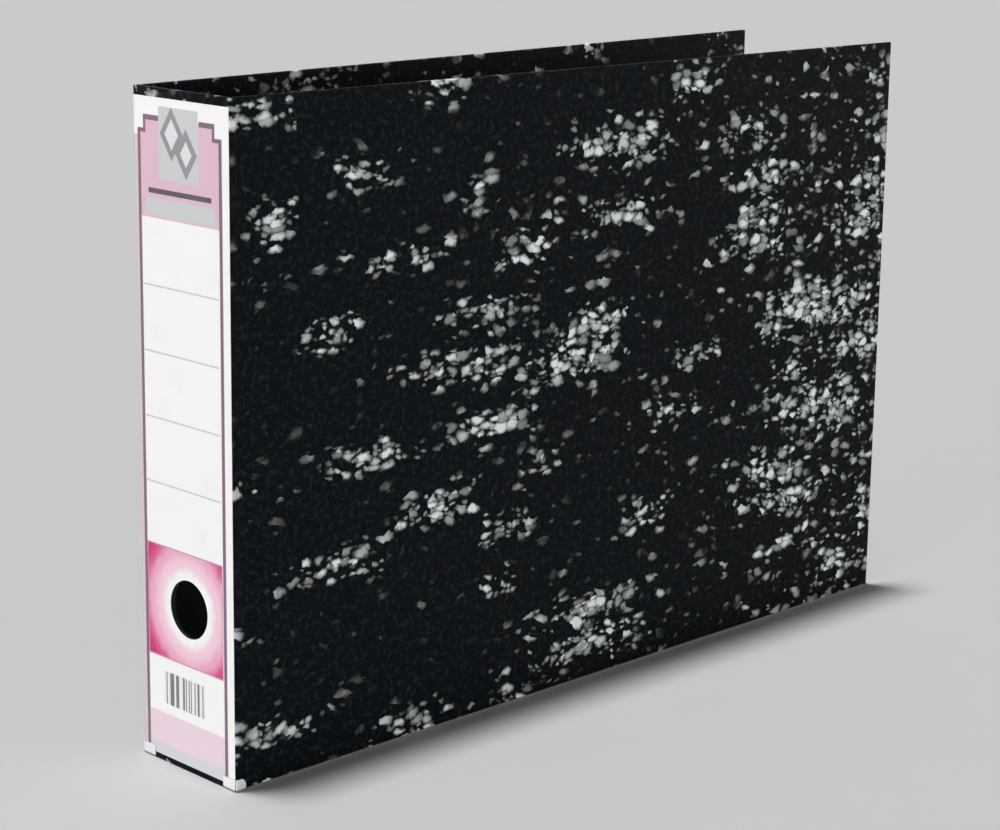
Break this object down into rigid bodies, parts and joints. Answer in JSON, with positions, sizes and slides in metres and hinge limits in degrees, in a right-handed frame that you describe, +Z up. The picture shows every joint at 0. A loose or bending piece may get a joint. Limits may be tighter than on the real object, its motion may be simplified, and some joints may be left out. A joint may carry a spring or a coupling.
{
  "type": "lever arch file",
  "caption": "Wide lever arch file: hinged board covers and labelled spine, with a lever that swings arches off filing posts and a sliding compressor bar.",
  "frame": {"origin": "middle of the spine's outer face at its bottom edge", "axes": "+X along the covers away from the spine, +Y from the front cover to the rear cover, +Z up"},
  "size_m": [0.4754, 0.1093, 0.32],
  "materials": {
    "greyboard": "matt grey board",
    "marbled_paper": "satin black marbled cover paper",
    "lining_paper": "matt charcoal lining paper",
    "label_paper": "satin printed label paper",
    "plated_strip": "bright nickel plate",
    "plated_steel": "bright nickel plate on pressed sheet",
    "plated_wire": "bright nickel plate on wire and rod",
    "plated_rivet": "bright nickel plate",
    "spring_steel": "drawn spring steel"
  },
  "bodies": {
    "spine": {"spine_board": "greyboard", "spine_paper": "marbled_paper", "spine_lining": "lining_paper", "spine_label": "label_paper", "spine_corner_caps": "plated_strip"},
    "front_cover": {"front_cover_board": "greyboard", "front_cover_paper": "marbled_paper", "front_cover_lining": "lining_paper", "front_edge_strip": "plated_strip"},
    "rear_cover": {"rear_cover_board": "greyboard", "rear_cover_paper": "marbled_paper", "rear_cover_lining": "lining_paper", "rear_edge_strip": "plated_strip", "base_plate": "plated_steel", "plate_rivets": "plated_rivet", "filing_posts": "plated_wire", "opening_springs": "spring_steel", "lever_pin": "plated_rivet"},
    "arches": {"arch_wire": "plated_wire"},
    "lever": {"lever": "plated_steel", "roller_pin": "plated_rivet"},
    "roller": {"lever_roller": "plated_wire"},
    "compressor": {"compressor_bar": "plated_steel", "catch_rivets": "plated_rivet"},
    "catch": {"compressor_catch": "spring_steel"}
  },
  "joints": [
    {"name": "front_cover_hinge", "type": "hinge", "parent": "spine", "child": "front_cover", "pos_m": [0, -0.035, 0], "axis": [0, 0, -1], "range_deg": [0, 178]},
    {"name": "rear_cover_hinge", "type": "hinge", "parent": "spine", "child": "rear_cover", "pos_m": [0, 0.035, 0], "axis": [0, 0, 1], "range_deg": [-4.65, 173.35]},
    {"name": "lever_pivot", "type": "hinge", "parent": "rear_cover", "child": "lever", "pos_m": [0.0482, 0.02212, 0.16], "axis": [0, 0, 1], "range_deg": [0, 60]},
    {"name": "arch_swing", "type": "hinge", "parent": "rear_cover", "child": "arches", "pos_m": [0.02486, 0.02538, 0.16], "axis": [0, 0, 1], "range_deg": [-33, 0]},
    {"name": "roller_turn", "type": "hinge", "parent": "lever", "child": "roller", "pos_m": [0.0405, 0.02576, 0.16], "axis": [0, 0, 1], "range_deg": [-60, 0]},
    {"name": "compressor_slide", "type": "slide", "parent": "rear_cover", "child": "compressor", "axis": [0.0811, -0.9967, 0], "range_m": [0, 0.026]},
    {"name": "catch_slide", "type": "slide", "parent": "compressor", "child": "catch", "axis": [0, 0, -1], "range_m": [0, 0.002]}
  ],
  "couplings": [
    {"joint": "arch_swing", "follows": "lever_pivot", "ratio": -0.55},
    {"joint": "roller_turn", "follows": "lever_pivot", "ratio": -1}
  ]
}
